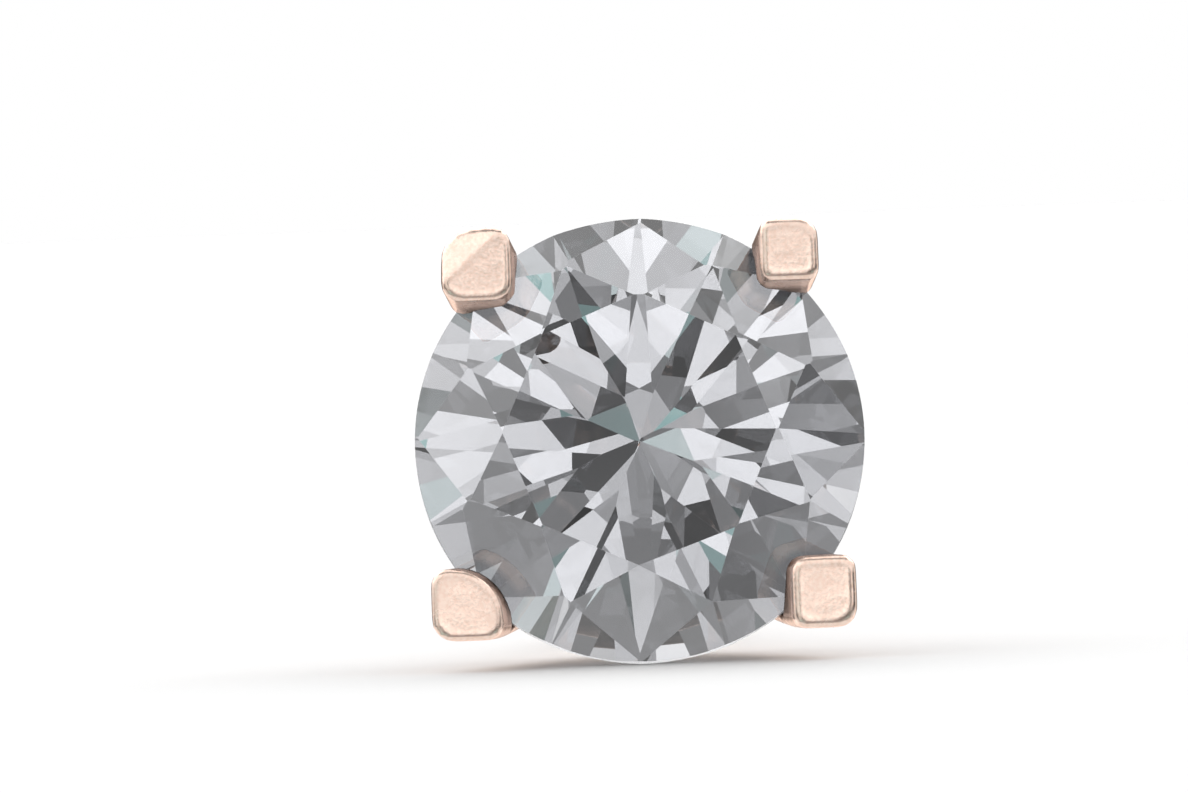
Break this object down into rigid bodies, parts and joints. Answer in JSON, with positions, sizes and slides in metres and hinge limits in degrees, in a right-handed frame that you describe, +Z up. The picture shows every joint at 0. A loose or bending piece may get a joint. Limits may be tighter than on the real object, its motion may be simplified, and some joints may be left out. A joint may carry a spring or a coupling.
{
  "type": "stud earring",
  "caption": "Stud earring: a round brilliant zircon held by corner claws on an open rose gold basket, with a flat back plate and a straight grooved ear post.",
  "frame": {"origin": "on the table the stud lies on, under the middle of its bounding box", "axes": "+Z up from the table; the stone looks along -Y and leans up by 11.5 degrees; the ear post runs back along +Y, so +Y is the longest extent; +X is to the right seen from the front"},
  "size_m": [0.006, 0.014, 0.0059],
  "materials": {
    "rose_gold": "polished 14K rose gold, claw tops filed flat and buffed",
    "zircon": "colourless zircon cut as a round brilliant with polished facets"
  },
  "bodies": {
    "root": {"claw_setting": "rose_gold", "stone": "zircon"}
  },
  "joints": []
}
